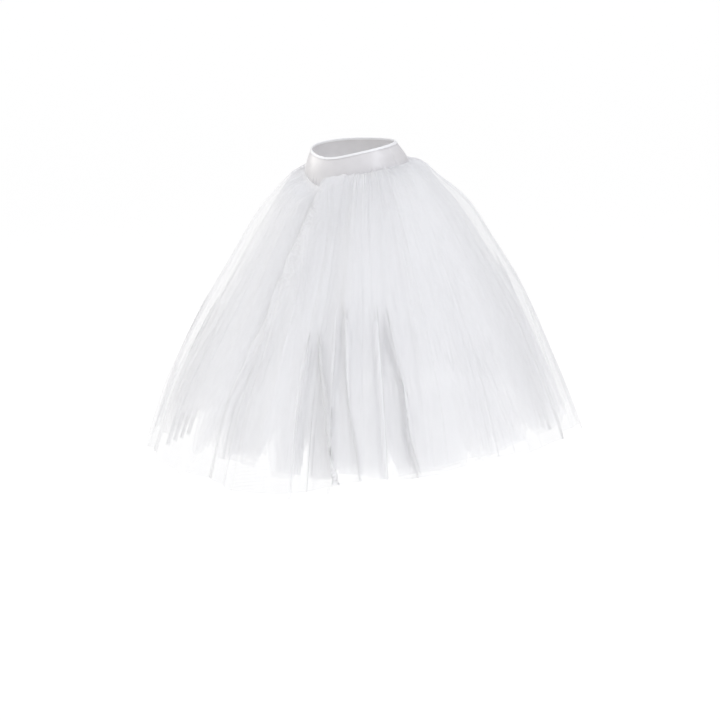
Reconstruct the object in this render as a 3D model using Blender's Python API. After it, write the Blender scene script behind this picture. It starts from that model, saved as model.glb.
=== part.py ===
"""Romantic-length ballet tutu: a stretch yoke with a bound waist and five gathered tulle layers.

Metres. +Z is up, the garment's front faces -Y and the wearer's left is +X. The origin is the middle
of the waist, at the height of the yoke's top edge. Angles run from centre front (0) over the
wearer's left side (90) and centre back (180) to the right side (270).
"""

import math

import bmesh
import bpy
from mathutils import Vector

# yoke: its waist and its lower edge are ellipses
WAIST_HALF_WIDTH = 0.115
WAIST_HALF_DEPTH = 0.085
HIP_HALF_WIDTH = 0.135
HIP_HALF_DEPTH = 0.115
HIP_BEHIND_WAIST = 0.0127
WAIST_TILT = 0.0145
WAIST_LEAN = 0.0040
WAIST_SIDE_RISE = 0.0055
WAIST_FRONT_DIP = 0.0075
YOKE_DEPTH = 0.048
YOKE_FRONT_DIP = 0.019
FRONT_DIP_SPREAD = math.radians(33)
YOKE_BELLY = 0.0022
YOKE_WALL = 0.0016
YOKE_SHARES = (0.0, 0.3, 0.65, 1.0)

# binding folded over the waist edge
BINDING_WALL = 0.0010
BINDING_DEPTH = 0.0055

# gaps between sewn pieces
GAP = 0.0004
SIDE_SEAM_GAP = 0.0003

# skirt: half-profile of the second layer at centre front and centre back, measured from the yoke's
# lower edge. A share of 1 is a cloth of FULL_LENGTH
FULL_LENGTH = 0.745
PROFILE = (
    # share of the length, out at front, drop at front, out at back, drop at back
    (0.00, 0.000, 0.000, 0.000, 0.000),
    (0.05, 0.034, 0.0145, 0.035, 0.0125),
    (0.12, 0.064, 0.057, 0.076, 0.046),
    (0.22, 0.099, 0.122, 0.131, 0.096),
    (0.38, 0.156, 0.227, 0.199, 0.194),
    (0.60, 0.238, 0.369, 0.285, 0.333),
    (0.80, 0.309, 0.500, 0.345, 0.469),
    (1.00, 0.357, 0.641, 0.403, 0.607),
    (1.06, 0.370, 0.684, 0.418, 0.649),
)
SECTION_SHARES = (0.0, 0.05, 0.15, 0.36, 0.68, 1.0)
TULLE_WALL = 0.0011
SEAM_PITCH = 0.0016
SPREAD_SHARE = 0.28
NORMAL_STEP = 0.01

LAYERS = (
    # name, cloth length at back and sides, extra length at centre front, spread at the hem
    ("tulle_1", 0.765, 0.010, 0.020),
    ("tulle_2", 0.748, -0.015, -0.002),
    ("tulle_3", 0.740, -0.015, -0.014),
    ("tulle_4", 0.728, -0.012, -0.026),
    ("tulle_5", 0.712, -0.010, -0.038),
)

FOLDS = (
    # middle in degrees, half width in degrees, depth at the hem, share of the length where it starts
    (16.5, 16.5, 0.016, 0.02),
    (45.5, 12.5, 0.013, 0.03),
    (71.0, 13.0, 0.012, 0.04),
    (96.0, 12.0, 0.015, 0.02),
    (121.0, 13.0, 0.011, 0.04),
    (145.5, 11.5, 0.016, 0.02),
    (169.5, 12.5, 0.013, 0.03),
    (194.0, 12.0, 0.016, 0.02),
    (219.0, 13.0, 0.011, 0.04),
    (243.5, 11.5, 0.016, 0.02),
    (267.5, 12.5, 0.012, 0.04),
    (292.0, 12.0, 0.015, 0.02),
    (314.0, 10.0, 0.011, 0.04),
    (333.5, 9.5, 0.016, 0.02),
    (351.5, 8.5, 0.013, 0.01),
)


def material(name, colour, roughness):
    made = bpy.data.materials.new(name)
    made.use_nodes = True
    shader = made.node_tree.nodes["Principled BSDF"]
    shader.inputs["Base Color"].default_value = (*colour, 1.0)
    shader.inputs["Roughness"].default_value = roughness
    shader.inputs["Metallic"].default_value = 0.0
    return made


def mix(a, b, share):
    return a + (b - a) * share


def front_share(angle):
    """1 at centre front, 0 at centre back."""
    return 0.5 + 0.5 * math.cos(angle)


def front_dip(angle):
    """1 at centre front, falling away to both sides."""
    turn = math.atan2(math.sin(angle), math.cos(angle))
    return math.exp(-((turn / FRONT_DIP_SPREAD) ** 2))


def waist_height(angle):
    """The yoke's top edge: lower at the front, dipped at its middle, a little higher on the left."""
    level = -WAIST_TILT * math.cos(angle) + WAIST_LEAN * math.sin(angle)
    return level + WAIST_SIDE_RISE * math.sin(angle) ** 2 - WAIST_FRONT_DIP * front_dip(angle)


def seam_height(angle):
    """The yoke's lower edge, dipped further at centre front."""
    return waist_height(angle) - YOKE_DEPTH - YOKE_FRONT_DIP * front_dip(angle)


def ellipse_point(angle, half_width, half_depth, middle_y, out, z):
    """A point of the ellipse, moved out along its level normal."""
    across = math.sin(angle)
    along = -math.cos(angle)
    normal = Vector((across / half_width, along / half_depth, 0.0)).normalized()
    flat = Vector((half_width * across, middle_y + half_depth * along, z))
    return flat + normal * out


def yoke_point(angle, share, out):
    """share runs down the yoke, from 0 at the waist to 1 at its lower edge."""
    width = mix(WAIST_HALF_WIDTH, HIP_HALF_WIDTH, share)
    depth = mix(WAIST_HALF_DEPTH, HIP_HALF_DEPTH, share)
    middle = HIP_BEHIND_WAIST * share
    belly = YOKE_BELLY * math.sin(math.pi * share)
    z = mix(waist_height(angle), seam_height(angle), share)
    return ellipse_point(angle, width, depth, middle, out + belly, z)


def profile_row(share):
    """PROFILE at any share, as a smooth curve through its rows."""
    last = len(PROFILE) - 2
    row = max(i for i in range(last + 1) if PROFILE[i][0] <= share or i == 0)
    near = [PROFILE[min(max(row + step, 0), last + 1)] for step in (-1, 0, 1, 2)]
    start = near[1][0]
    end = near[2][0]
    t = (share - start) / (end - start)
    found = []
    for column in range(1, 5):
        slopes = []
        for left, right in ((0, 2), (1, 3)):
            run = near[right][0] - near[left][0]
            slopes.append((near[right][column] - near[left][column]) / run * (end - start))
        p0 = near[1][column]
        p1 = near[2][column]
        found.append(
            (2 * t**3 - 3 * t**2 + 1) * p0
            + (t**3 - 2 * t**2 + t) * slopes[0]
            + (3 * t**2 - 2 * t**3) * p1
            + (t**3 - t**2) * slopes[1]
        )
    return found


def profile_point(angle, share):
    """(out, z) of the second layer's half-profile at this angle."""
    out_front, drop_front, out_back, drop_back = profile_row(share)
    front = front_share(angle)
    out = mix(out_back, out_front, front)
    drop = mix(drop_back, drop_front, front)
    return out, seam_height(angle) - GAP - drop


def fold_depth(angle, share):
    """How far the main folds stand out or in here."""
    turn = math.degrees(angle) % 360
    for middle, half, depth, start in FOLDS:
        away = abs((turn - middle + 180) % 360 - 180)
        if away <= half + 0.001:
            rise = max(0.0, share - start) / (1 - start)
            return depth * rise**0.7 * math.cos(math.pi * away / half)
    return 0.0


def cloth_point(angle, share, offset):
    """A point of the skirt, moved by offset along the profile's outward normal."""
    low = max(share - NORMAL_STEP, 0.0)
    high = min(share + NORMAL_STEP, PROFILE[-1][0])
    out_a, z_a = profile_point(angle, low)
    out_b, z_b = profile_point(angle, high)
    run = math.hypot(out_b - out_a, z_b - z_a)
    normal_out = (z_a - z_b) / run
    normal_up = (out_b - out_a) / run
    out, z = profile_point(angle, share)
    out += normal_out * offset
    z += normal_up * offset
    return ellipse_point(angle, HIP_HALF_WIDTH, HIP_HALF_DEPTH, HIP_BEHIND_WAIST, out, z)


def column_angles():
    """Four columns to a fold: its ridge, its two flanks and its valley. Both side seams get one."""
    angles = []
    for index, (middle, half, _, _) in enumerate(FOLDS):
        following = FOLDS[(index + 1) % len(FOLDS)]
        gap_to_next = (following[0] - middle) % 360
        valley = middle + half + (gap_to_next - half - following[1]) / 2
        angles += [middle, middle + half / 2, valley, (middle + gap_to_next) - following[1] / 2]
    angles = sorted(angle % 360 for angle in angles)
    for seam in (90.0, 270.0):
        nearest = min(range(len(angles)), key=lambda i: abs(angles[i] - seam))
        angles[nearest] = seam
    return [math.radians(angle) for angle in angles]


def wall(name, outer, inner, closed, finish):
    """A solid wall between two grids of points, rows from the top down."""
    rows = len(outer)
    columns = len(outer[0])
    mesh = bpy.data.meshes.new(name)
    bm = bmesh.new()
    skins = []
    for grid in (outer, inner):
        skins.append([[bm.verts.new(point) for point in row] for row in grid])
    out, into = skins

    def pair(a, b, c, d):
        bm.faces.new((a, b, c))
        bm.faces.new((a, c, d))

    spans = columns if closed else columns - 1
    for j in range(spans):
        k = (j + 1) % columns
        for i in range(rows - 1):
            pair(out[i][j], out[i + 1][j], out[i + 1][k], out[i][k])
            bm.faces.new((into[i][j], into[i + 1][k], into[i + 1][j]))
            bm.faces.new((into[i][j], into[i][k], into[i + 1][k]))
        pair(out[0][j], out[0][k], into[0][k], into[0][j])
        pair(out[-1][j], into[-1][j], into[-1][k], out[-1][k])
    if not closed:
        for i in range(rows - 1):
            pair(out[i][0], into[i][0], into[i + 1][0], out[i + 1][0])
            pair(out[i][-1], out[i + 1][-1], into[i + 1][-1], into[i][-1])
    return finished(bm, mesh, name, finish)


def finished(bm, mesh, name, finish):
    bm.normal_update()
    for face in bm.faces:
        face.smooth = True
    bm.to_mesh(mesh)
    bm.free()
    mesh.set_sharp_from_angle(angle=math.radians(50))
    mesh.materials.append(finish)
    made = bpy.data.objects.new(name, mesh)
    bpy.context.scene.collection.objects.link(made)
    return made


def yoke_panel(name, angles, finish):
    """One half of the yoke between the side seams."""
    trimmed = list(angles)
    half_gap = SIDE_SEAM_GAP / 2 / WAIST_HALF_DEPTH
    trimmed[0] += half_gap
    trimmed[-1] -= half_gap
    outer = [[yoke_point(a, share, 0.0) for a in trimmed] for share in YOKE_SHARES]
    inner = [[yoke_point(a, share, -YOKE_WALL) for a in trimmed] for share in YOKE_SHARES]
    return wall(name, outer, inner, False, finish)


def waist_binding(name, angles, finish):
    """A strip folded over the yoke's top edge, as a closed U."""
    out_face = GAP + BINDING_WALL
    in_face = -YOKE_WALL - GAP
    section = (
        # share of BINDING_DEPTH down, out, up from the waist edge
        (1.0, out_face, 0.0),
        (0.0, out_face, GAP + BINDING_WALL),
        (0.0, in_face - BINDING_WALL, GAP + BINDING_WALL),
        (1.0, in_face - BINDING_WALL, 0.0),
        (1.0, in_face, 0.0),
        (0.0, in_face, GAP),
        (0.0, GAP, GAP),
        (1.0, GAP, 0.0),
    )
    mesh = bpy.data.meshes.new(name)
    bm = bmesh.new()
    loops = []
    for angle in angles:
        height = waist_height(angle) - seam_height(angle)
        loop = []
        for down, out, up in section:
            point = yoke_point(angle, down * BINDING_DEPTH / height, out)
            loop.append(bm.verts.new(point + Vector((0.0, 0.0, up))))
        loops.append(loop)
    for j, loop in enumerate(loops):
        following = loops[(j + 1) % len(loops)]
        for i in range(len(section)):
            k = (i + 1) % len(section)
            bm.faces.new((loop[i], following[i], following[k]))
            bm.faces.new((loop[i], following[k], loop[k]))
    return finished(bm, mesh, name, finish)


def tulle_layer(name, length, front_extra, spread, index, angles, finish):
    """One gathered layer, as a folded wall nested inside the layer before it."""
    outer = []
    inner = []
    for section in SECTION_SHARES:
        outer_row = []
        inner_row = []
        for angle in angles:
            share = section * (length + front_extra * front_share(angle) ** 4) / FULL_LENGTH
            opened = min(share / SPREAD_SHARE, 1.0)
            offset = spread * opened * opened * (3 - 2 * opened) - SEAM_PITCH * index
            offset += fold_depth(angle, share)
            outer_row.append(cloth_point(angle, share, offset))
            inner_row.append(cloth_point(angle, share, offset - TULLE_WALL))
        outer.append(outer_row)
        inner.append(inner_row)
    return wall(name, outer, inner, True, finish)


def main():
    for existing in list(bpy.data.objects):
        bpy.data.objects.remove(existing, do_unlink=True)
    satin = material("white stretch satin", (0.86, 0.86, 0.88), 0.42)
    elastic = material("white fold-over elastic", (0.92, 0.92, 0.93), 0.5)
    angles = column_angles()
    quarter = math.pi / 2
    left = [a for a in angles if quarter - 1e-6 <= a <= 3 * quarter + 1e-6]
    right = [a - 2 * math.pi for a in angles if a >= 3 * quarter - 1e-6]
    right += [a for a in angles if a <= quarter + 1e-6]
    yoke_panel("yoke_front", right, satin)
    yoke_panel("yoke_back", left, satin)
    waist_binding("waist_binding", angles, elastic)
    for index, (name, length, front_extra, spread) in enumerate(LAYERS):
        tone = 0.93 - 0.01 * index
        net = material("white nylon " + name, (tone, tone, tone), 0.8)
        tulle_layer(name, length, front_extra, spread, index, angles, net)


main()
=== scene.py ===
# Long romantic ballet tutu: five gathered layers of white nylon tulle on a bound stretch satin yoke.
import math

import bpy
import numpy as np
from mathutils import Matrix, Vector


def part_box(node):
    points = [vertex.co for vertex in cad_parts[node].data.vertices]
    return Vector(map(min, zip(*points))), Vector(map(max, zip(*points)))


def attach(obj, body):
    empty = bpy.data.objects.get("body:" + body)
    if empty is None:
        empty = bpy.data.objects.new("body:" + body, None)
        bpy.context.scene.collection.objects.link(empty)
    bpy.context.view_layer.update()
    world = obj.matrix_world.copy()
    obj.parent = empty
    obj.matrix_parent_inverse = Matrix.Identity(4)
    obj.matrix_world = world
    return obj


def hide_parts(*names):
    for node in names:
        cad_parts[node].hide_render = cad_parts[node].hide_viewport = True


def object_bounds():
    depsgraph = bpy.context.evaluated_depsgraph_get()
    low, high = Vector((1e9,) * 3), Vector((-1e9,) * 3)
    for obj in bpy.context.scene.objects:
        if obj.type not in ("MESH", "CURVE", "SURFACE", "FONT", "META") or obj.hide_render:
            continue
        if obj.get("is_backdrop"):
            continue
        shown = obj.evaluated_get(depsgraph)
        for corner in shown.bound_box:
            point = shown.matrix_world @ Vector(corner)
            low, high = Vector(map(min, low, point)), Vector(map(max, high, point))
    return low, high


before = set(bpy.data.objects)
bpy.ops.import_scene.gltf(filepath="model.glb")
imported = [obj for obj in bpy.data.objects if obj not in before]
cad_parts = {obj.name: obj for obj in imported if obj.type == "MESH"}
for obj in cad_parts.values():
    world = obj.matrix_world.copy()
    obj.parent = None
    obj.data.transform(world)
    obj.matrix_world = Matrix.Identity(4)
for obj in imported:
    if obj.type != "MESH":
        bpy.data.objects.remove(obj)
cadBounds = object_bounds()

tau = 2 * math.pi


# ---- camera, floor and light ----
cameraSetup = {
    "azimuth": 45.0,  # degrees round from the front towards the wearer's left
    "distance": 5.0,  # metres, level, from the middle of the waist
    "height": 0.45,  # above the waist
    "pitch": 11.0,  # degrees down
    "yaw": 0.19,  # degrees right
    "lens": 104.15,
    "sensor": 36.0,
}

studio = {
    "floorDrop": 1.17,  # from the waist down to the floor
    "floorRadius": 150.0,
    "floorColour": "#6f6f6f",
    "floorGlowColour": "#ffffff",
    "floorGlow": 0.885,
    "skyColour": "#fcfcfd",
    "skyStrength": 0.62,
    "keyPower": 84.0,
    "keySize": 2.6,
    "keyPlace": (4.7, -1.5, 3.0),
    "keyColour": "#f5f7ff",
    "fillPower": 90.0,
    "fillSize": 3.0,
    "fillPlace": (-4.7, -1.0, 2.1),
    "fillColour": "#fffcf6",
    "topPower": 25.0,
    "topSize": 3.0,
    "topPlace": (0.5, -0.9, 2.6),
    "topColour": "#f6f8ff",
}


def linear(hexColour):
    # sRGB hex to linear red, green, blue, alpha
    values = [int(hexColour[i : i + 2], 16) / 255 for i in (1, 3, 5)]
    return [v / 12.92 if v <= 0.04045 else ((v + 0.055) / 1.055) ** 2.4 for v in values] + [1.0]


def addNode(tree, kind, settings=None, inputs=None, links=None):
    # one node, with its properties, its socket values and what feeds its sockets
    node = tree.nodes.new(kind)
    for name, value in (settings or {}).items():
        setattr(node, name, value)
    for name, value in (inputs or {}).items():
        node.inputs[name].default_value = value
    for name, source in (links or {}).items():
        tree.links.new(source, node.inputs[name])
    return node


def vectorNode(tree, operation, source, values=None):
    return addNode(tree, "ShaderNodeVectorMath", {"operation": operation}, values, {0: source})


def mathNode(tree, operation, links, values=None, clamp=False):
    return addNode(tree, "ShaderNodeMath", {"operation": operation, "use_clamp": clamp}, values, links)


def emptyMaterial(name):
    made = bpy.data.materials.new(name)
    made.use_nodes = True
    made.node_tree.nodes.clear()
    return made


def aim(thing, place, forward):
    up = Vector((0, 0, 1))
    right = forward.cross(up).normalized()
    above = right.cross(forward).normalized()
    turn = Matrix((right, above, -forward.normalized())).transposed().to_4x4()
    thing.matrix_world = Matrix.Translation(place) @ turn


def placeCamera():
    angle = math.radians(cameraSetup["azimuth"])
    reach = cameraSetup["distance"]
    place = Vector((math.sin(angle) * reach, -math.cos(angle) * reach, cameraSetup["height"]))
    turned = angle - math.radians(cameraSetup["yaw"])
    pitch = math.radians(cameraSetup["pitch"])
    forward = Vector(
        (-math.sin(turned) * math.cos(pitch), math.cos(turned) * math.cos(pitch), -math.sin(pitch))
    )
    data = bpy.data.cameras.new("studioCamera")
    data.lens = cameraSetup["lens"]
    data.sensor_width = cameraSetup["sensor"]
    data.clip_end = 400.0
    eye = bpy.data.objects.new("studioCamera", data)
    bpy.context.scene.collection.objects.link(eye)
    aim(eye, place, forward)
    bpy.context.scene.camera = eye


def softLight(name, power, size, place, colour):
    data = bpy.data.lights.new(name, "AREA")
    data.shape = "DISK"
    data.size = size
    data.energy = power
    data.color = linear(colour)[:3]
    lamp = bpy.data.objects.new(name, data)
    bpy.context.scene.collection.objects.link(lamp)
    aim(lamp, Vector(place), Vector((0, 0, -0.35)) - Vector(place))


def buildStudio():
    scene = bpy.context.scene
    scene.view_settings.view_transform = "Standard"
    scene.cycles.transparent_max_bounces = 64
    scene.cycles.max_bounces = 10
    scene.cycles.diffuse_bounces = 5
    world = bpy.data.worlds.new("paleRoom")
    scene.world = world
    world.use_nodes = True
    world.node_tree.nodes["Background"].inputs["Color"].default_value = linear(studio["skyColour"])
    world.node_tree.nodes["Background"].inputs["Strength"].default_value = studio["skyStrength"]
    for lamp in ("key", "fill", "top"):
        softLight(lamp + "Light", *(studio[lamp + part] for part in ("Power", "Size", "Place", "Colour")))
    # opal studio floor lit evenly from below: it stays pale and takes no shadow
    paint = emptyMaterial("opalFloorAcrylic")
    tree = paint.node_tree
    shader = addNode(
        tree,
        "ShaderNodeBsdfPrincipled",
        inputs={
            "Base Color": linear(studio["floorColour"]),
            "Roughness": 0.9,
            "Specular IOR Level": 0.1,
            "Emission Color": linear(studio["floorGlowColour"]),
            "Emission Strength": studio["floorGlow"],
        },
    )
    addNode(tree, "ShaderNodeOutputMaterial", links={"Surface": shader.outputs[0]})
    mesh = bpy.data.meshes.new("studioFloor")
    around = 96
    radius = studio["floorRadius"]
    turns = [tau * i / around for i in range(around)]
    rim = [(radius * math.cos(turn), radius * math.sin(turn), 0.0) for turn in turns]
    mesh.from_pydata(rim, [], [list(range(around))])
    mesh.materials.append(paint)
    floor = bpy.data.objects.new("studioFloor", mesh)
    floor.location.z = -studio["floorDrop"]
    scene.collection.objects.link(floor)
    floor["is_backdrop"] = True
    print("studio: camera, floor and lights are in place")


# ---- shared shapes ----
def smooth(x):
    x = np.clip(x, 0.0, 1.0)
    return x * x * (3 - 2 * x)


def blendTo(a, b, share):
    return a + (b - a) * share


def unevenness(u, lowest, highest, seed):
    # a smooth wander round the waist with mean 0 and spread 1
    rng = np.random.default_rng(seed)
    total = np.zeros_like(u)
    for turns in range(lowest, highest + 1):
        total += rng.normal() * np.cos(tau * turns * u + rng.uniform(0, tau))
    return total / max(total.std(), 1e-9)


def gridMesh(name, points, closed, finish, uvs=None, shell=False, doubled=None):
    # points: rows from the top down, columns round the body; closed joins the last column to the first,
    # and a shell's last row joins its first, with its two ends capped where it isn't closed
    rows, columns = points.shape[:2]
    spans = columns if closed else columns - 1
    i, j = np.meshgrid(np.arange(rows if shell else rows - 1), np.arange(spans), indexing="ij")
    k = (j + 1) % columns
    m = (i + 1) % rows
    quads = np.stack([i * columns + j, m * columns + j, m * columns + k, i * columns + k], -1)
    quads = quads.reshape(-1, 4)
    if shell and not closed:
        near = np.arange(rows // 2 - 1)
        far = rows - 1 - near
        first = np.stack([near, far, far - 1, near + 1], -1) * columns
        last = np.stack([near, near + 1, far - 1, far], -1) * columns + columns - 1
        quads = np.concatenate([quads, first, last])
    mesh = bpy.data.meshes.new(name)
    mesh.vertices.add(rows * columns)
    mesh.vertices.foreach_set("co", points.reshape(-1).astype(np.float32))
    mesh.loops.add(quads.size)
    mesh.loops.foreach_set("vertex_index", quads.reshape(-1).astype(np.int32))
    mesh.polygons.add(len(quads))
    mesh.polygons.foreach_set("loop_start", np.arange(0, quads.size, 4, dtype=np.int32))
    mesh.polygons.foreach_set("use_smooth", np.ones(len(quads), bool))
    mesh.update(calc_edges=True)
    if uvs is not None:
        # uvs: (rows, columns + 1, 2), with one column more than the points where the cloth closes
        wide = uvs.shape[1]
        corner = np.stack([i * wide + j, (i + 1) * wide + j, (i + 1) * wide + j + 1, i * wide + j + 1], -1)
        flat = uvs.reshape(-1, 2)[corner.reshape(-1)]
        layer = mesh.uv_layers.new(name="clothSizes")
        layer.data.foreach_set("uv", flat.reshape(-1).astype(np.float32))
    if doubled is not None:
        marks = mesh.attributes.new("doubled", "FLOAT", "POINT")
        marks.data.foreach_set("value", doubled.reshape(-1).astype(np.float32))
    mesh.materials.append(finish)
    piece = bpy.data.objects.new(name, mesh)
    bpy.context.scene.collection.objects.link(piece)
    return piece


# ---- the yoke's and the skirt's cut, in metres; the hip line comes from the frame's own boxes ----
frontLow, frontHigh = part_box("yoke_front")
backLow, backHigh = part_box("yoke_back")
yokeCut = {
    "waistHalfWidth": 0.115,
    "waistHalfDepth": 0.085,
    "hipHalfWidth": (frontHigh.x - frontLow.x) / 2,
    "hipHalfDepth": (backHigh.y - frontLow.y) / 2,
    "hipMiddle": (backHigh.y + frontLow.y) / 2,
    "tilt": 0.0145,
    "lean": 0.0040,
    "sideRise": 0.0055,
    "waistDip": 0.0075,
    "depth": 0.048,
    "lowerDip": 0.019,
    "dipSpread": math.radians(33),
    "belly": 0.0022,
    "wall": 0.0013,
    "columns": 300,
    "rows": 26,
    "strainDepth": 0.00055,  # soft pulls from the side seams
    "puckerDepth": 0.00060,  # along the lower seam, over the gathers
}


def frontDip(angle):
    turn = np.arctan2(np.sin(angle), np.cos(angle))
    return np.exp(-((turn / yokeCut["dipSpread"]) ** 2))


def waistHeight(angle):
    level = -yokeCut["tilt"] * np.cos(angle) + yokeCut["lean"] * np.sin(angle)
    return level + yokeCut["sideRise"] * np.sin(angle) ** 2 - yokeCut["waistDip"] * frontDip(angle)


def seamHeight(angle):
    return waistHeight(angle) - yokeCut["depth"] - yokeCut["lowerDip"] * frontDip(angle)


def levelNormal(angle, halfWidth, halfDepth):
    across = np.sin(angle) / halfWidth
    along = -np.cos(angle) / halfDepth
    size = np.hypot(across, along)
    return across / size, along / size


def yokePoint(angle, share, out):
    # share runs from 0 at the waist to 1 at the lower edge
    width = blendTo(yokeCut["waistHalfWidth"], yokeCut["hipHalfWidth"], share)
    depth = blendTo(yokeCut["waistHalfDepth"], yokeCut["hipHalfDepth"], share)
    nx, ny = levelNormal(angle, width, depth)
    stand = out + yokeCut["belly"] * np.sin(math.pi * np.clip(share, 0, 1))
    x = width * np.sin(angle) + nx * stand
    y = yokeCut["hipMiddle"] * share - depth * np.cos(angle) + ny * stand
    z = blendTo(waistHeight(angle), seamHeight(angle), share)
    return np.stack([x, y, z + 0 * x], -1)


skirtCut = {
    "fullLength": 0.745,
    # share of the length, out at front, drop at front, out at back, drop at back
    "profile": (
        (0.00, 0.000, 0.000, 0.000, 0.000),
        (0.05, 0.034, 0.0145, 0.035, 0.0125),
        (0.12, 0.064, 0.057, 0.076, 0.046),
        (0.22, 0.099, 0.122, 0.131, 0.096),
        (0.38, 0.156, 0.227, 0.199, 0.194),
        (0.60, 0.238, 0.369, 0.285, 0.333),
        (0.80, 0.309, 0.500, 0.345, 0.469),
        (1.00, 0.357, 0.641, 0.403, 0.607),
        (1.06, 0.370, 0.684, 0.418, 0.649),
    ),
    "gap": 0.0004,
    "seamPitch": 0.0016,
    "spreadShare": 0.28,
    "columns": 1560,
    "rows": 56,
    "widthSeed": 152,  # where one width of net ends and the next begins, on the fuller layers
    "rowCrowding": 1.6,  # above 1 puts more rows near the yoke
    # share of the hem's run that is stated as the net's width. Fitted to the area test, not measured:
    # the gathers at the yoke are drawn too shallow to hold the whole width
    "statedShare": 0.9,
}

# each layer: the cut's length, how much shorter its hem ends, how far it stands out at the hem, its
# own seed, the size of its own small folds, and how much of the shared gathers it takes
layerCut = (
    {"name": "tulle_1", "length": 0.765, "shorter": 0.0, "spread": 0.016,
     "seed": 11, "own": 0.0055, "fullness": 0.38},
    {"name": "tulle_2", "length": 0.748, "shorter": 0.0, "spread": -0.007,
     "seed": 23, "own": 0.0040, "fullness": 1.0},
    {"name": "tulle_3", "length": 0.740, "shorter": 0.008, "spread": -0.019,
     "seed": 37, "own": 0.0040, "fullness": 1.0},
    {"name": "tulle_4", "length": 0.728, "shorter": 0.018, "spread": -0.031,
     "seed": 41, "own": 0.0040, "fullness": 1.0},
    {"name": "tulle_5", "length": 0.712, "shorter": 0.030, "spread": -0.043,
     "seed": 59, "own": 0.0040, "fullness": 1.0},
)

# folds shared by all layers, from fine gathers at the yoke to broad folds at the hem: depth in mm
# at each share of the length, how unevenly they stand and how much they lean over each other
foldShares = (0.0, 0.015, 0.05, 0.12, 0.25, 0.45, 0.70, 1.06)
foldSets = (
    {"count": 151, "seed": 5, "depths": (0.2, 1.6, 2.2, 1.7, 0.9, 0.5, 0.4, 0.3), "lean": 0.3, "drift": 1.5},
    {"count": 83, "seed": 7, "depths": (0.0, 0.6, 1.3, 1.3, 1.1, 0.9, 0.8, 0.8), "lean": 0.5, "drift": 1.2},
    {"count": 37, "seed": 9, "depths": (0.0, 0.2, 0.9, 1.8, 3.0, 3.8, 4.8, 6.0), "lean": 0.7, "drift": 0.8},
)

# how strong the folds and the laps are round the body: angle, strength
foldStrength = (
    (0, 0.8), (30, 1.0), (58, 0.95), (75, 0.5), (90, 0.32), (128, 0.35), (150, 0.8), (195, 0.95),
    (225, 0.5), (250, 0.35), (285, 0.75), (312, 0.35), (335, 0.45), (348, 0.6), (360, 0.8),
)

# broad folds: middle in degrees, half width, depth at the hem, share where it starts
broadFolds = (
    (16.5, 16.5, 0.016, 0.02),
    (45.5, 12.5, 0.013, 0.03),
    (71.0, 13.0, 0.012, 0.04),
    (96.0, 12.0, 0.015, 0.02),
    (121.0, 13.0, 0.011, 0.04),
    (145.5, 11.5, 0.016, 0.02),
    (169.5, 12.5, 0.013, 0.03),
    (194.0, 12.0, 0.016, 0.02),
    (219.0, 13.0, 0.011, 0.04),
    (243.5, 11.5, 0.016, 0.02),
    (267.5, 12.5, 0.012, 0.04),
    (292.0, 12.0, 0.015, 0.02),
    (314.0, 10.0, 0.011, 0.04),
    (333.5, 9.5, 0.016, 0.02),
    (351.5, 8.5, 0.013, 0.01),
)

# where the edge of the centre-front crease runs: share of the length, angle
creasePath = (
    (0.0, 23.0), (0.012, 20.0), (0.025, 17.0), (0.06, 14.0), (0.11, 12.5), (0.177, 9.5),
    (0.26, 8.0), (0.35, 5.5), (0.45, 3.5), (1.06, -4.0),
)
# overhang, rise and sink in mm; upper, lower and edge are reaches in degrees
crease = {
    "side": 1,
    "start": 0.0,
    "full": 0.08,
    "end": 0.85,
    "overhang": 24,
    "rise": 16,
    "sink": 58,
    "upper": 8,
    "lower": 15,
    "edge": 0.45,
}

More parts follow.
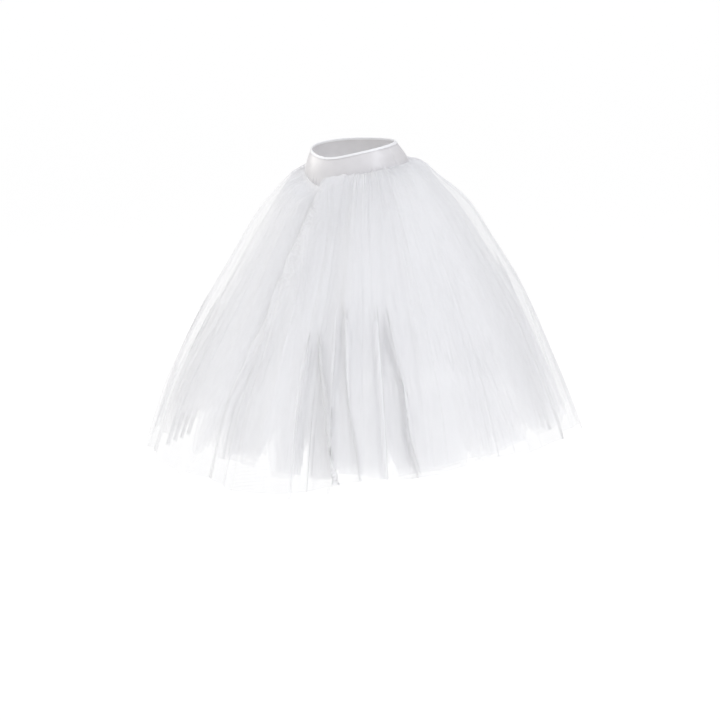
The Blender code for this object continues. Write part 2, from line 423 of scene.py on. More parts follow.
# laps: one part of the cloth lies over its neighbour along a crisp edge. Angle of the edge at the
# top and at the hem, side on which the upper part lies, shares where it starts, is full and ends,
# how far the upper part overhangs in mm, its rise in mm, how deep the lower part sinks in mm, and
# how far round the upper and the lower part are drawn, in degrees
laps = (
    (-16.0, -19.0, -1, 0.10, 0.40, 1.10, 5.2, 1.8, 2.0, 7, 6),
    (-28.0, -30.0, 1, 0.04, 0.30, 1.00, 5.2, 2.2, 2.2, 8, 7),
    (-41.0, -40.0, -1, 0.14, 0.50, 1.30, 6.5, 2.2, 2.8, 6, 6),
    (-52.0, -50.0, 1, 0.02, 0.24, 0.90, 5.2, 1.8, 2.2, 7, 6),
    (-63.0, -62.0, -1, 0.10, 0.50, 1.40, 5.9, 2.2, 2.5, 7, 7),
    (10.5, 9.0, 1, 0.16, 0.50, 1.30, 5.9, 2.2, 2.5, 6, 7),
    (19.0, 20.5, -1, 0.06, 0.34, 1.00, 5.2, 1.8, 2.2, 6, 6),
    (25.0, 27.0, 1, 0.22, 0.60, 1.40, 5.2, 1.8, 2.2, 5, 5),
    (47.0, 49.5, -1, 0.10, 0.40, 1.20, 5.2, 2.2, 2.2, 5, 6),
    (67.0, 69.0, 1, 0.02, 0.22, 0.90, 5.2, 1.8, 2.5, 8, 7),
    (75.0, 76.5, -1, 0.18, 0.60, 1.40, 5.9, 2.2, 2.5, 6, 6),
    (83.0, 83.0, 1, 0.26, 0.70, 1.40, 7.1, 2.7, 3.2, 6, 6),
    (93.0, 95.0, 1, 0.04, 0.30, 1.10, 5.2, 1.8, 2.2, 8, 8),
    (103.0, 104.0, -1, 0.12, 0.50, 1.40, 5.9, 2.2, 2.8, 7, 7),
    (117.0, 119.0, 1, 0.06, 0.40, 1.20, 6.5, 2.2, 3.0, 7, 7),
    (129.0, 128.0, -1, 0.00, 0.18, 0.80, 7.7, 3.2, 4.0, 10, 12),
    (141.0, 143.0, 1, 0.10, 0.50, 1.40, 5.9, 2.2, 2.5, 7, 7),
    (163.0, 162.0, -1, 0.04, 0.34, 1.10, 5.9, 2.2, 2.5, 8, 8),
    (176.0, 174.0, 1, 0.00, 0.20, 0.90, 9.7, 3.6, 4.9, 12, 14),
    (189.0, 191.0, -1, 0.12, 0.50, 1.30, 5.9, 2.2, 2.5, 7, 7),
    (201.0, 200.0, 1, 0.08, 0.44, 1.20, 5.2, 2.2, 2.5, 7, 7),
    (220.0, 222.0, -1, 0.02, 0.26, 0.90, 7.1, 2.7, 3.4, 9, 10),
    (232.0, 231.0, 1, 0.14, 0.54, 1.40, 5.9, 2.2, 2.5, 7, 7),
    (249.0, 251.0, -1, 0.06, 0.36, 1.10, 5.9, 2.2, 2.8, 8, 8),
    (271.0, 270.0, 1, 0.00, 0.20, 0.90, 7.7, 3.2, 3.7, 10, 11),
    (284.0, 286.0, -1, 0.10, 0.46, 1.30, 5.9, 2.2, 2.5, 7, 7),
)

# gaps that open towards the hem like an upturned V, with a lap along both sides: angle at the top,
# angle at the hem, share where it begins, half width at the hem in degrees, depth in mm
gaps = (
    (29.8, 35.2, 0.50, 4.8, 13.9),
    (38.5, 44.8, 0.39, 1.6, 9.3),
    (54.8, 58.5, 0.45, 3.3, 15.0),
    (87.0, 90.0, 0.58, 1.4, 3.8),
    (112.0, 111.0, 0.50, 1.8, 4.7),
    (151.0, 156.0, 0.42, 3.0, 12.8),
    (183.0, 181.0, 0.52, 1.8, 9.3),
    (208.0, 205.0, 0.40, 3.6, 14.4),
    (238.0, 241.0, 0.48, 1.6, 8.7),
    (262.0, 259.0, 0.45, 2.8, 12.2),
    (294.0, 297.0, 0.52, 1.8, 9.3),
    (325.0, 322.0, 0.56, 1.4, 7.0),
)

# the edge of a lap, in degrees, and the laps beside a gap: overhang, rise and sink in mm, then the
# reach of the upper part, of the lower part and of the edge, in degrees
lapEdge = 0.7
gapLap = (11, 7, 0, 2.2, 1.2, 0.4)


def denseProfile():
    # the half-profile table as a smooth curve, sampled closely
    rows = np.array(skirtCut["profile"])
    known = rows[:, 0]
    shares = np.linspace(0, known[-1], 900)
    cell = np.clip(np.searchsorted(known, shares, side="right") - 1, 0, len(known) - 2)
    run = known[cell + 1] - known[cell]
    t = (shares - known[cell]) / run
    columns = []
    for values in rows[:, 1:].T:
        slope = np.gradient(values, known)
        columns.append(
            (2 * t**3 - 3 * t**2 + 1) * values[cell]
            + (t**3 - 2 * t**2 + t) * run * slope[cell]
            + (3 * t**2 - 2 * t**3) * values[cell + 1]
            + (t**3 - t**2) * run * slope[cell + 1]
        )
    return shares, columns, [np.gradient(column, shares) for column in columns]


profileShares, profileColumns, profileSlopes = denseProfile()


def skirtBase(angle, share):
    # point, outward normal and the direction round the body, on the second layer's plain bell
    front = 0.5 + 0.5 * np.cos(angle)
    at = [np.interp(share, profileShares, column) for column in profileColumns]
    rate = [np.interp(share, profileShares, slope) for slope in profileSlopes]
    out = blendTo(at[2], at[0], front)
    drop = blendTo(at[3], at[1], front)
    outRate = blendTo(rate[2], rate[0], front)
    dropRate = blendTo(rate[3], rate[1], front)
    run = np.hypot(outRate, dropRate)
    nx, ny = levelNormal(angle, yokeCut["hipHalfWidth"], yokeCut["hipHalfDepth"])
    x = yokeCut["hipHalfWidth"] * np.sin(angle) + nx * out
    y = yokeCut["hipMiddle"] - yokeCut["hipHalfDepth"] * np.cos(angle) + ny * out
    z = seamHeight(angle) - skirtCut["gap"] - drop
    point = np.stack([x, y, z], -1)
    normal = np.stack([nx * dropRate / run, ny * dropRate / run, outRate / run], -1)
    around = np.stack([-ny, nx, 0 * nx], -1)
    return point, normal, around, 0.12 + out


def turnBetween(angle, middle):
    # signed degrees from middle to angle
    return (np.degrees(angle) - middle + 180) % 360 - 180


def broadDepth(angle, share):
    total = np.zeros_like(share)
    for middle, half, depth, start in broadFolds:
        away = np.abs(turnBetween(angle, middle))
        rise = np.clip((share - start) / (1 - start), 0, None) ** 0.7
        total += np.where(away <= half, depth * rise * np.cos(math.pi * np.minimum(away / half, 1)), 0)
    return total


def lapFolds(angle, share, radius):
    # height and movement round the body of every lap and gap, where the gathers are pulled flat, and
    # where the net lies double along a folded edge
    height = np.zeros_like(share)
    slide = np.zeros_like(share)
    calm = np.zeros_like(share)
    doubled = np.zeros_like(share)

    def rises(start, full, end):
        return smooth((share - start) / (full - start)) * (1 - smooth((share - full) / (end - full)))

    def addLap(middle, side, strength, overhang, rise, sink, upperReach, lowerReach, edge):
        # the edge is seen at the middle, so before it slides over it stands further back
        shift = np.degrees(side * overhang * 0.001 * strength / radius)
        a = turnBetween(angle, middle + shift) * side
        upper = smooth((a / edge + 1) / 2)
        near = np.exp(-((np.maximum(a, 0) / upperReach) ** 2)) * upper
        under = np.exp(-((np.minimum(a, 0) / lowerReach) ** 2)) * (1 - upper)
        h = strength * (rise * near - sink * under) * 0.001
        # the large crease at the front is left out: its edge is rolled, not pressed
        marked = min(overhang / 10, 1) * (overhang < 20)
        fold = np.clip(strength, 0, 1) * marked * np.exp(-(((a - 0.25) / 0.42) ** 2))
        np.maximum(doubled, fold, out=doubled)
        return h, strength * side * overhang * (0.6 * under - near) * 0.001

    table = np.array(foldStrength)
    evenness = np.interp(np.degrees(angle) % 360, table[:, 0], table[:, 1])
    path = np.array(creasePath)
    c = crease
    strength = rises(c["start"], c["full"], c["end"])
    middle = np.interp(share, path[:, 0], path[:, 1])
    h, g = addLap(
        middle, c["side"], strength, c["overhang"], c["rise"], c["sink"], c["upper"], c["lower"], c["edge"]
    )
    height += h
    slide += g
    for top, low, side, start, full, end, overhang, rise, sink, upperReach, lowerReach in laps:
        strength = rises(start, full, end) * evenness
        middle = top + (low - top) * share
        h, g = addLap(middle, side, strength, overhang, rise, sink, upperReach, lowerReach, lapEdge)
        height += h
        slide += g
    for top, low, begin, half, depth in gaps:
        opened = np.clip((share - begin) / (1 - begin), 0, 1.1)
        middle = top + (low - top) * opened
        width = half * opened**0.9 + 0.3
        strength = smooth(opened / 0.25)
        away = turnBetween(angle, middle)
        inside = smooth((width - np.abs(away)) / 0.9 + 0.5)
        height -= depth * 0.001 * strength * (0.25 + 0.75 * opened**0.6) * inside
        calm = np.maximum(calm, strength * inside * 0.7)
        for side in (-1, 1):
            h, g = addLap(middle + side * width, side, strength * min(depth / 12, 1), *gapLap)
            height += h
            slide += g
    return height, slide, calm, doubled


def gatherFolds(u, share, radius):
    # height and movement round the body of the gathers, common to all the layers
    height = np.zeros_like(share)
    slide = np.zeros_like(share)
    table = np.array(foldStrength)
    evenness = np.interp(u * 360, table[:, 0], table[:, 1])
    for fold in foldSets:
        count, seed = fold["count"], fold["seed"]
        bend = unevenness(u, 2, 9, seed) * 0.30 + unevenness(u, 10, 10 + count // 3, seed + 1) * 0.22
        phase = tau * count * u + bend * 2.4
        wander = unevenness(u, 2, 12, seed + 2) * fold["drift"]
        psi = phase + wander * share
        size = np.clip(1 + 0.42 * unevenness(u, 3, count // 2, seed + 3), 0.15, 2.0)
        depth = np.interp(share, foldShares, np.array(fold["depths"]) * 0.001) * size
        depth = depth * blendTo(1.0, evenness, smooth(share / 0.12))
        if count > 50:
            reach = np.clip(0.32 + 0.16 * unevenness(u, 5, count, seed + 4), 0.08, 0.8)
            depth = depth * (0.35 + 0.65 * np.exp(-((share / reach) ** 2)))
        leaning = fold["lean"] * unevenness(u, 3, 14, seed + 5) * 0.6
        height += depth * (0.45 * np.cos(psi) + 0.55 * (1 - 2 * np.abs(np.sin(psi / 2))))
        local = radius / count
        slide += 0.80 * local * np.minimum(depth / local, 1.0) * np.sin(2 * psi)
        slide += leaning * depth * np.cos(psi)
    return height, slide


# how far the gathers stand up above the seam before they fall: angle, height in mm
puffs = (
    (0, -4), (9, 0), (13, 19), (22, 17), (35, 12), (60, 9), (95, 10), (130, 7), (180, 6), (235, 8),
    (275, 6), (292, 0), (310, -9), (330, -13), (348, -13), (360, -10),
)
creasePuff = (-13.0, 19.0)  # below and above the crease, in mm
puffAt = 0.032  # share of the length where they stand highest


def seamPuff(u, angle, share):
    table = np.array(puffs)
    lift = np.interp(np.degrees(angle) % 360, table[:, 0], table[:, 1])
    # at the front the upper side of the crease stands up and the lower side hangs from the seam
    path = np.array(creasePath)
    away = turnBetween(angle, np.interp(share, path[:, 0], path[:, 1]))
    upper = smooth(away / 8.0)
    far = smooth((np.abs(away) - 14) / 14)
    lift = np.where(np.abs(away) < 28, blendTo(*creasePuff, upper) * (1 - far) + lift * far, lift)
    lift = lift * 0.001
    lift = lift * (1 + 0.22 * unevenness(u, 8, 60, 77))
    step = share / puffAt
    return lift * step * np.exp(1 - step) * (1 - smooth((share - 0.1) / 0.12))


# cloth length from the seam to the raw edge, by angle: the loose top layer and the fuller ones below
topHem = (
    (0, 0.764), (10, 0.784), (24, 0.789), (45, 0.780), (60, 0.766), (79, 0.752), (101, 0.752),
    (131, 0.784), (180, 0.772), (230, 0.766), (270, 0.776), (308, 0.784), (324, 0.781),
    (343, 0.762), (360, 0.764),
)
fullHem = (
    (0, 0.720), (6, 0.716), (25, 0.742), (50, 0.756), (69, 0.768), (82, 0.758), (90, 0.745),
    (101, 0.732), (110, 0.745), (130, 0.744), (180, 0.740), (230, 0.734), (300, 0.734),
    (347, 0.730), (360, 0.720),
)
shortPart = {"from": 328.0, "to": 342.0, "less": 0.097}  # where the fuller layers are cut short
# openings between the fuller layers' widths at the hem: angle, half width in degrees, height
hemNotches = (
    (-5.8, 3.6, 0.090), (19.4, 2.7, 0.100), (30.5, 2.0, 0.105), (56.4, 2.4, 0.055),
    (77.2, 2.5, 0.060), (96.6, 2.6, 0.045), (128.0, 2.5, 0.070), (150.0, 3.0, 0.060),
    (171.0, 2.2, 0.090), (199.0, 2.8, 0.050), (222.0, 2.0, 0.080), (248.0, 3.0, 0.060),
    (277.0, 2.2, 0.090), (302.0, 2.6, 0.050),
)


def hemLength(cut, u, angle):
    # raw cut edge: each layer's widths of net were cut by hand, so lengths step and wander
    rng = np.random.default_rng(cut["seed"] + 100)
    table = np.array(topHem if cut["name"] == "tulle_1" else fullHem)
    degrees = np.degrees(angle) % 360
    length = np.interp(degrees, table[:, 0], table[:, 1]) - cut["shorter"]
    length = length + 0.0030 * unevenness(u, 2, 16, cut["seed"] + 101)
    if cut["name"] != "tulle_1":
        middle = (shortPart["from"] + shortPart["to"]) / 2
        away = np.abs(degrees - middle) - (shortPart["to"] - shortPart["from"]) / 2
        length = length - shortPart["less"] * smooth(0.5 - away / 1.6)
        for middle, half, height in hemNotches:
            away = np.abs(turnBetween(angle, middle + rng.uniform(-0.4, 0.4)))
            length = length - height * rng.uniform(0.85, 1.1) * np.clip(1 - away / half, 0, 1)
        rng = np.random.default_rng(skirtCut["widthSeed"])
    edges = np.sort(rng.uniform(0, 1, 30))
    steps = rng.uniform(-0.017, 0.010, 30)
    for index, edge in enumerate(edges):
        following = edges[(index + 1) % len(edges)]
        inside = (u >= edge) & (u < following) if following > edge else (u >= edge) | (u < following)
        length = length + np.where(inside, steps[index], 0)
    return length


def buildLayer(index, cut, finish):
    columns, rows = skirtCut["columns"], skirtCut["rows"]
    u = np.arange(columns) / columns
    angle = tau * u
    length = hemLength(cut, u, angle)
    down = np.linspace(0, 1, rows) ** skirtCut["rowCrowding"]
    share = down[:, None] * length[None, :] / skirtCut["fullLength"]
    point, normal, around, radius = skirtBase(angle[None, :] + 0 * share, share)
    angles = angle[None, :] + 0 * share
    height, slide = gatherFolds(u[None, :] + 0 * share, share, radius)
    lapHeight, lapSlide, calm, doubled = lapFolds(angles, share, radius)
    opened = smooth(share / skirtCut["spreadShare"])
    table = np.array(foldStrength)
    evenness = np.interp(u * 360, table[:, 0], table[:, 1])
    height = height * cut["fullness"] * (1 - calm)
    slide = slide * cut["fullness"] * (1 - calm)
    height = height + lapHeight + (0.25 + 0.5 * evenness) * broadDepth(angles, share)
    slide = slide + lapSlide
    offset = cut["spread"] * opened - skirtCut["seamPitch"] * index
    ownSize = cut["own"] * opened * (0.5 + 0.5 * share) * evenness
    ownPhase = tau * 46 * u + 2.2 * unevenness(u, 2, 20, cut["seed"])
    ownPhase = ownPhase[None, :] + share * 2.0 * unevenness(u, 2, 9, cut["seed"] + 1)[None, :]
    own = ownSize * np.cos(ownPhase) * np.clip(0.6 + 0.4 * unevenness(u, 3, 30, cut["seed"] + 2), 0, 1)
    height = height + offset + own
    slide = slide + 0.8 * own * np.sign(np.sin(tau * 3 * u + cut["seed"]))
    points = point + normal * height[..., None] + around * slide[..., None]
    points[..., 2] += seamPuff(u[None, :] + 0 * share, angles, share)
    # the width of net, measured across the cloth at the hem: steps and notches of the cut edge don't count
    strides = np.linalg.norm(np.diff(np.concatenate([points[-1], points[-1][:1]]), axis=0), axis=1)
    climbs = np.diff(np.append(length, length[0]))
    width = round(float(np.sqrt(np.maximum(strides**2 - climbs**2, 0)).sum()) * skirtCut["statedShare"], 2)
    uvs = np.empty((rows, columns + 1, 2))
    uvs[..., 0] = np.linspace(0, width, columns + 1)[None, :]
    uvs[:, :-1, 1] = -down[:, None] * length[None, :]
    uvs[:, -1, 1] = uvs[:, 0, 1]
    piece = gridMesh("gathered_" + cut["name"], points, True, finish, uvs, doubled=doubled)
    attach(piece, "root")
    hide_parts(cut["name"])
    print(f"skirt: {cut['name']} gathered from {width} m of net")


# ---- materials ----
tulleLook = {
    "cell": 0.0036,  # real net has about 1.5 mm holes; drawn coarser so that it can show
    "threadShare": 0.17,  # of the cell, from its edge
    "threadCover": 0.92,
    "holeCover": 0.05,
    "colour": "#f7f7f8",
    "throughColour": "#f9f9fa",
    "through": 0.20,
    "creaseAcross": 17.0,  # pressed creases to a metre of width
    "creaseAlong": 0.7,
    "creaseWide": 0.024,
    "creaseCover": 0.13,
    "foldCover": 0.36,
    "roughness": 0.55,
    "sheen": 0.7,
}


def wovenTulle(name, cover, seed):
    # nylon bobbinet: six-sided holes between twisted threads, which give a soft, misty white
    made = emptyMaterial(name)
    tree = made.node_tree
    cell = tulleLook["cell"]
    ratio = math.sqrt(3)
    sizes = addNode(tree, "ShaderNodeUVMap", {"uv_map": "clothSizes"})
    scaled = vectorNode(tree, "SCALE", sizes.outputs[0], {"Scale": 1 / cell})
    # a whole number of holes keeps every place positive
    moved = vectorNode(tree, "ADD", scaled.outputs[0], {1: (900.0, 900.0 * ratio, 0.0)})
    half = (0.5, ratio / 2, 0.0)
    corners = []
    for shift in ((0.0, 0.0, 0.0), half):
        start = vectorNode(tree, "SUBTRACT", moved.outputs[0], {1: shift})
        wrapped = vectorNode(tree, "MODULO", start.outputs[0], {1: (1.0, ratio, 1.0)})
        middle = vectorNode(tree, "SUBTRACT", wrapped.outputs[0], {1: half})
        corners.append((middle, vectorNode(tree, "LENGTH", middle.outputs[0])))
    sizesTo = [size.outputs["Value"] for _, size in corners]
    nearer = mathNode(tree, "LESS_THAN", {0: sizesTo[0], 1: sizesTo[1]})
    chosen = addNode(
        tree,
        "ShaderNodeMix",
        {"data_type": "VECTOR"},
        links={0: nearer.outputs[0], 4: corners[1][0].outputs[0], 5: corners[0][0].outputs[0]},
    )
    folded = vectorNode(tree, "ABSOLUTE", chosen.outputs[1])
    slanted = vectorNode(tree, "DOT_PRODUCT", folded.outputs[0], {1: half})
    parts = addNode(tree, "ShaderNodeSeparateXYZ", links={0: folded.outputs[0]})
    edge = mathNode(tree, "MAXIMUM", {0: parts.outputs[0], 1: slanted.outputs["Value"]})
    thread = addNode(
        tree,
        "ShaderNodeMapRange",
        {"interpolation_type": "SMOOTHSTEP"},
        {
            "From Min": 0.5 - tulleLook["threadShare"],
            "From Max": 0.5 - tulleLook["threadShare"] * 0.3,
            "To Min": tulleLook["holeCover"] * cover,
            "To Max": tulleLook["threadCover"] * cover,
        },
        {"Value": edge.outputs[0]},
    )
    # fine lengthwise creases pressed into the net lie double and read as thin whiter lines
    stretch = (tulleLook["creaseAcross"], tulleLook["creaseAlong"], 0.0)
    drawn = vectorNode(tree, "MULTIPLY", sizes.outputs[0], {1: stretch})
    shifted = vectorNode(tree, "ADD", drawn.outputs[0], {1: (37.0 * seed, 11.0 * seed, 0.0)})
    wander = addNode(
        tree,
        "ShaderNodeTexNoise",
        {"noise_dimensions": "2D"},
        {"Scale": 1.0, "Detail": 0.0},
        {"Vector": shifted.outputs[0]},
    )
    centred = mathNode(tree, "SUBTRACT", {0: wander.outputs["Fac"]}, {1: 0.5})
    distance = mathNode(tree, "ABSOLUTE", {0: centred.outputs[0]})
    pressed = addNode(
        tree,
        "ShaderNodeMapRange",
        {"interpolation_type": "SMOOTHSTEP"},
        {
            "From Min": 0.0,
            "From Max": tulleLook["creaseWide"],
            "To Min": tulleLook["creaseCover"] * cover,
            "To Max": 0.0,
        },
        {"Value": distance.outputs[0]},
    )
    lined = mathNode(tree, "ADD", {0: thread.outputs[0], 1: pressed.outputs[0]}, clamp=True)
    # along the folded edges of laps and gaps the net lies double
    marks = addNode(tree, "ShaderNodeAttribute", {"attribute_name": "doubled"})
    dense = mathNode(
        tree,
        "MULTIPLY_ADD",
        {0: marks.outputs["Fac"], 2: lined.outputs[0]},
        {1: tulleLook["foldCover"] * cover},
        clamp=True,
    )
    nylon = addNode(
        tree,
        "ShaderNodeBsdfPrincipled",
        inputs={
            "Base Color": linear(tulleLook["colour"]),
            "Roughness": tulleLook["roughness"],
            "IOR": 1.53,
            "Specular IOR Level": 0.3,
            "Sheen Weight": tulleLook["sheen"],
            "Sheen Roughness": 0.3,
        },
    )
    lit = addNode(tree, "ShaderNodeBsdfTranslucent", inputs={"Color": linear(tulleLook["throughColour"])})
    fibre = addNode(
        tree,
        "ShaderNodeMixShader",
        inputs={0: tulleLook["through"]},
        links={1: nylon.outputs[0], 2: lit.outputs[0]},
    )
    clear = addNode(tree, "ShaderNodeBsdfTransparent")
    net = addNode(
        tree, "ShaderNodeMixShader", links={0: dense.outputs[0], 1: clear.outputs[0], 2: fibre.outputs[0]}
    )
    addNode(tree, "ShaderNodeOutputMaterial", links={"Surface": net.outputs[0]})
    return made


def noiseNode(tree, scale, place, detail=2.0):
    return addNode(
        tree,
        "ShaderNodeTexNoise",
        inputs={"Scale": scale, "Detail": detail},
        links={"Vector": place.outputs["Object"]},
    )


def glossRange(tree, middle, below, above, source):
    # roughness that varies a little over the cloth
    return addNode(
        tree,
        "ShaderNodeMapRange",
        inputs={"To Min": middle - below, "To Max": middle + above},
        links={"Value": source.outputs["Fac"]},
    )


def bumpNode(tree, strength, distance, source):
    return addNode(
        tree,
        "ShaderNodeBump",
        inputs={"Strength": strength, "Distance": distance},
        links={"Height": source.outputs["Fac"]},
    )


satinLook = {
    "colour": "#dddbdc",
    "shade": "#d3d1d2",
    "roughness": 0.33,
    "rib": 0.0011,  # knitted ribs are about 0.4 mm apart; drawn coarser so that they can show
    "ribDepth": 0.00006,
}


def knittedSatin(name):
    # warp-knitted polyamide satin with elastane: smooth face with a soft, wide gleam
    made = emptyMaterial(name)
    tree = made.node_tree
    place = addNode(tree, "ShaderNodeTexCoord")
    ribs = addNode(
        tree,
        "ShaderNodeTexWave",
        {"wave_type": "BANDS", "bands_direction": "Z"},
        {"Scale": 1 / (satinLook["rib"] * tau), "Distortion": 1.2, "Detail": 1.0},
        {"Vector": place.outputs["Object"]},
    )
    cloud = noiseNode(tree, 38.0, place, 3.0)
    tone = addNode(
        tree,
        "ShaderNodeMix",
        {"data_type": "RGBA"},
        {6: linear(satinLook["colour"]), 7: linear(satinLook["shade"])},
        {0: cloud.outputs["Fac"]},
    )
    gloss = glossRange(tree, satinLook["roughness"], 0.05, 0.07, cloud)
    bump = bumpNode(tree, 0.5, satinLook["ribDepth"], ribs)
    shader = addNode(
        tree,
        "ShaderNodeBsdfPrincipled",
        inputs={"IOR": 1.5, "Specular IOR Level": 0.75, "Sheen Weight": 0.15, "Sheen Roughness": 0.35},
        links={"Base Color": tone.outputs[2], "Roughness": gloss.outputs[0], "Normal": bump.outputs[0]},
    )
    addNode(tree, "ShaderNodeOutputMaterial", links={"Surface": shader.outputs[0]})
    return made


elasticLook = {"colour": "#efeff0", "groove": 0.0012, "ribDepth": 0.0001, "roughness": 0.42}


def foldOverElastic(name):
    # woven fold-over elastic: brighter than the satin, with fine ribs along its length
    made = emptyMaterial(name)
    tree = made.node_tree
    place = addNode(tree, "ShaderNodeTexCoord")
    ribs = addNode(
        tree,
        "ShaderNodeTexWave",
        {"wave_type": "BANDS", "bands_direction": "Z"},
        {"Scale": 1 / (elasticLook["groove"] * tau), "Distortion": 0.6},
        {"Vector": place.outputs["Object"]},
    )
    bump = bumpNode(tree, 0.6, elasticLook["ribDepth"], ribs)
    grain = noiseNode(tree, 900.0, place)
    gloss = glossRange(tree, elasticLook["roughness"], 0.06, 0.08, grain)
    shader = addNode(
        tree,
        "ShaderNodeBsdfPrincipled",
        inputs={"Base Color": linear(elasticLook["colour"]), "IOR": 1.5, "Sheen Weight": 0.2},
        links={"Roughness": gloss.outputs[0], "Normal": bump.outputs[0]},
    )
    addNode(tree, "ShaderNodeOutputMaterial", links={"Surface": shader.outputs[0]})
    return made


# ---- yoke ----
def yokeStand(angle, share, seams):
    # small outward moves of the satin: soft pulls, puckers over the gathers and a groove at each side seam
    beside = np.exp(-((np.cos(angle) / 0.5) ** 2))
    pulls = yokeCut["strainDepth"] * np.sin(9 * share + 2.2 * np.sin(angle * 3)) * beside
    low = np.exp(-(((1 - share) / 0.16) ** 2))
    pucker = unevenness(angle / tau, 40, 76, 71) * yokeCut["puckerDepth"] * low
    stand = pulls + pucker
    for seam in seams:
        away = np.abs(np.arctan2(np.sin(angle - seam), np.cos(angle - seam))) * 0.12
        stand = stand - 0.0010 * np.exp(-((away / 0.0013) ** 2))
    return stand


def buildYokePanel(name, node, start, end, finish):
    columns, rows = yokeCut["columns"], yokeCut["rows"]
    gap = 0.0012
    spans = np.linspace(0, 1, columns)
    spans = 0.5 - 0.5 * np.cos(math.pi * spans) * (1 - 0.25 * np.sin(math.pi * spans) ** 2)
    angle = start + gap + (end - start - 2 * gap) * spans
    share = np.linspace(0, 1, rows)[:, None] + 0 * angle[None, :]
    angles = angle[None, :] + 0 * share
    seams = (math.pi / 2, 3 * math.pi / 2)
    stand = yokeStand(angles, share, seams)
    wall = yokeCut["wall"]
    # the lower edge is turned under in a rounded fold
    turned = np.linspace(0, math.pi, 8)[1:-1]
    outer = yokePoint(angles, share, stand)
    under = []
    for turn in turned:
        level = 1 + 0.006 * math.sin(turn)
        inward = -wall * (1 - math.cos(turn)) / 2
        under.append(yokePoint(angle, level + 0 * angle, stand[-1] + inward))
    inner = yokePoint(angles, share, -wall + 0 * stand)[::-1]
    loop = np.concatenate([outer, np.array(under), inner], 0)
    piece = gridMesh(name, loop, False, finish, shell=True)
    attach(piece, "root")
    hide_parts(node)
    return piece


bindingCut = {"depth": 0.0040, "wall": 0.0010, "clear": 0.0003, "columns": 420}


def buildBinding(finish):
    # strip folded over the waist edge: round at the top, its two legs pressed to the satin
    wall, clear, depth = bindingCut["wall"], bindingCut["clear"], bindingCut["depth"]
    columns = bindingCut["columns"]
    angle = tau * np.arange(columns) / columns
    height = waistHeight(angle) - seamHeight(angle)
    satin = yokeCut["wall"]
    middle = -satin / 2
    reach = satin / 2 + clear + wall
    legs = []
    for part in np.linspace(1, 0, 5):
        legs.append((part * depth, middle + reach, 0.0))
    for turn in np.linspace(0, math.pi, 11)[1:-1]:
        legs.append((0.0, middle + reach * math.cos(turn), reach * math.sin(turn) * 0.8))
    for part in np.linspace(0, 1, 5):
        legs.append((part * depth, middle - reach, 0.0))
    inside = reach - wall
    for part in np.linspace(1, 0, 4):
        legs.append((part * depth, middle - inside, 0.0))
    for turn in np.linspace(math.pi, 0, 7)[1:-1]:
        legs.append((0.0, middle + inside * math.cos(turn), inside * math.sin(turn) * 0.8))
    for part in np.linspace(0, 1, 4):
        legs.append((part * depth, middle + inside, 0.0))
    wave = 0.00018 * unevenness(angle / tau, 20, 60, 91)
    rows = []
    for down, out, up in legs:
        row = yokePoint(angle, down / height, out + wave)
        row[:, 2] += up
        rows.append(row)
    piece = gridMesh("foldedBinding", np.array(rows)[::-1], True, finish, shell=True)
    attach(piece, "root")
    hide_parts("waist_binding")
    return piece


def stitchRow(name, places, outward, along, finish, length=0.0028, thick=0.00032):
    # short raised stitches, each a small rounded bar lying on the cloth
    around, rings = 6, 5
    turns = np.linspace(0, tau, around, endpoint=False)
    verts, faces = [], []
    for place, out, run in zip(places, outward, along):
        side = np.cross(out, run)
        base = len(verts)
        for ring in range(rings):
            part = ring / (rings - 1)
            swell = max(math.sin(math.pi * part), 0.12) ** 0.5
            middle = place + run * (part - 0.5) * length + out * thick * 0.9 * (swell - 0.55)
            for turn in turns:
                verts.append(middle + (out * math.sin(turn) * 0.8 + side * math.cos(turn)) * thick * swell)
        for ring in range(rings - 1):
            for k in range(around):
                n = (k + 1) % around
                a = base + ring * around
                faces.append((a + k, a + n, a + around + n, a + around + k))
        faces.append(tuple(base + k for k in reversed(range(around))))
        faces.append(tuple(base + (rings - 1) * around + k for k in range(around)))
    mesh = bpy.data.meshes.new(name)
    mesh.from_pydata([tuple(v) for v in verts], [], faces)
    mesh.polygons.foreach_set("use_smooth", np.ones(len(mesh.polygons), bool))
    mesh.update()
    mesh.materials.append(finish)
    piece = bpy.data.objects.new(name, mesh)
    bpy.context.scene.collection.objects.link(piece)
    return piece


threadLook = {"dark": "#d3d3d8", "light": "#e8e8ec", "roughness": 0.7}


def sewingThread(name):
    # spun polyester thread: matt, a shade greyer than the satin
    made = emptyMaterial(name)
    tree = made.node_tree
    place = addNode(tree, "ShaderNodeTexCoord")
    twist = noiseNode(tree, 1500.0, place)
    tone = addNode(
        tree,
        "ShaderNodeMix",
        {"data_type": "RGBA"},
        {6: linear(threadLook["dark"]), 7: linear(threadLook["light"])},
        {0: twist.outputs["Fac"]},
    )
    shader = addNode(
        tree,
        "ShaderNodeBsdfPrincipled",
        inputs={"Roughness": threadLook["roughness"], "IOR": 1.5},
        links={"Base Color": tone.outputs[2]},
    )
    addNode(tree, "ShaderNodeOutputMaterial", links={"Surface": shader.outputs[0]})
    return made


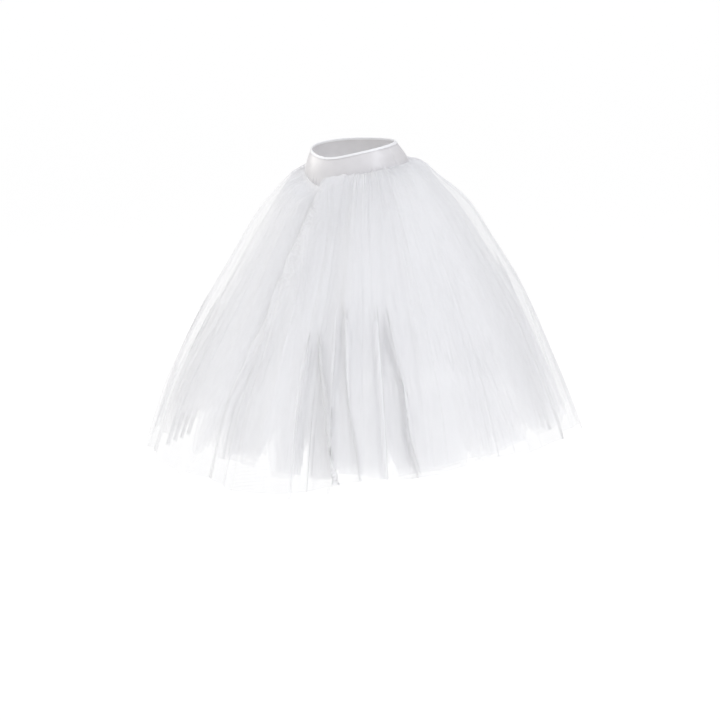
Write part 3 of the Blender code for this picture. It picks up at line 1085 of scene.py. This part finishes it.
def stitchesAlong(name, angles, shares, out, finish):
    points = yokePoint(angles, shares, out)
    step = np.gradient(points, axis=0)
    run = step / np.linalg.norm(step, axis=1)[:, None]
    nx, ny = levelNormal(angles, yokeCut["hipHalfWidth"], yokeCut["hipHalfDepth"])
    flat = np.stack([nx, ny, 0 * nx], -1)
    across = np.cross(run, flat)
    outward = np.cross(across, run)
    outward /= np.linalg.norm(outward, axis=1)[:, None]
    piece = stitchRow(name, points, outward, run, finish)
    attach(piece, "root")
    return piece


stitchRows = {
    "lowerCount": 196,
    "lowerShare": 0.945,  # of the way down the yoke
    "lowerStand": 0.0002,
    "waistCount": 190,
    "waistDrop": 0.0031,  # below the waist edge
}


def buildYoke():
    satin = knittedSatin("knittedStretchSatin")
    elastic = foldOverElastic("foldOverElastic")
    thread = sewingThread("polyesterThread")
    quarter = math.pi / 2
    front = buildYokePanel("satinYokeFront", "yoke_front", -quarter, quarter, satin)
    back = buildYokePanel("satinYokeBack", "yoke_back", quarter, 3 * quarter, satin)
    binding = buildBinding(elastic)
    lowerAngles = np.linspace(0, tau, stitchRows["lowerCount"], endpoint=False)
    lowerShares = stitchRows["lowerShare"] + 0 * lowerAngles
    lower = stitchesAlong(
        "lowerEdgeStitches", lowerAngles, lowerShares, stitchRows["lowerStand"], thread
    )
    waistAngles = np.linspace(0, tau, stitchRows["waistCount"], endpoint=False)
    height = waistHeight(waistAngles) - seamHeight(waistAngles)
    out = bindingCut["clear"] + bindingCut["wall"]
    waistShares = stitchRows["waistDrop"] / height
    waist = stitchesAlong("bindingStitches", waistAngles, waistShares, out, thread)
    print("yoke: panels, binding and stitches are in place")


def buildSkirt():
    for index, cut in enumerate(layerCut):
        cover = 0.85 if index == 0 else 1.0
        net = wovenTulle("nylonTulle" + str(index + 1), cover, cut["seed"])
        buildLayer(index, cut, net)


placeCamera()
buildStudio()
buildYoke()
buildSkirt()

sizes = {"cad": cadBounds, "visual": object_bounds()}
sizes = {name: [list(map(float, corner)) for corner in box] for name, box in sizes.items()}
